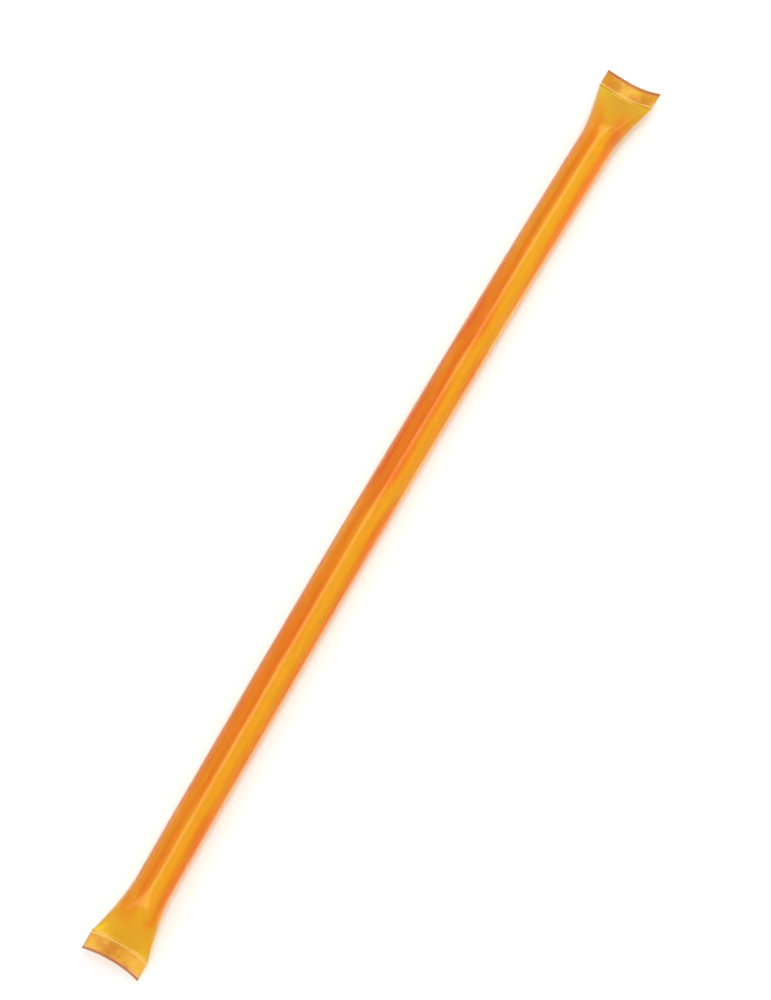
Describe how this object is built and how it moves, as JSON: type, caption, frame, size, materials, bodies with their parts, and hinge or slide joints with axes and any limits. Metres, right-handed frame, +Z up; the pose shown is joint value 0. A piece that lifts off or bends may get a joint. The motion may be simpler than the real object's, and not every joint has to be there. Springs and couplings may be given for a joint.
{
  "type": "honey stick",
  "caption": "Slim clear straw filled with amber honey, pressed flat and heat-sealed at both ends, lying on its side; a single serving that is snipped or bitten open.",
  "frame": {"origin": "on the floor under the middle of the stick's box", "axes": "+X along the stick, +Y across it, +Z up from the floor it lies on"},
  "size_m": [0.165, 0.0098, 0.0062],
  "materials": {
    "honey": "clear amber honey seen through smooth clear film",
    "straw_film": "smooth clear film, faintly hazy, pressed and cloudy at the welded ends"
  },
  "bodies": {
    "root": {"honey_stick": "honey"}
  },
  "joints": []
}
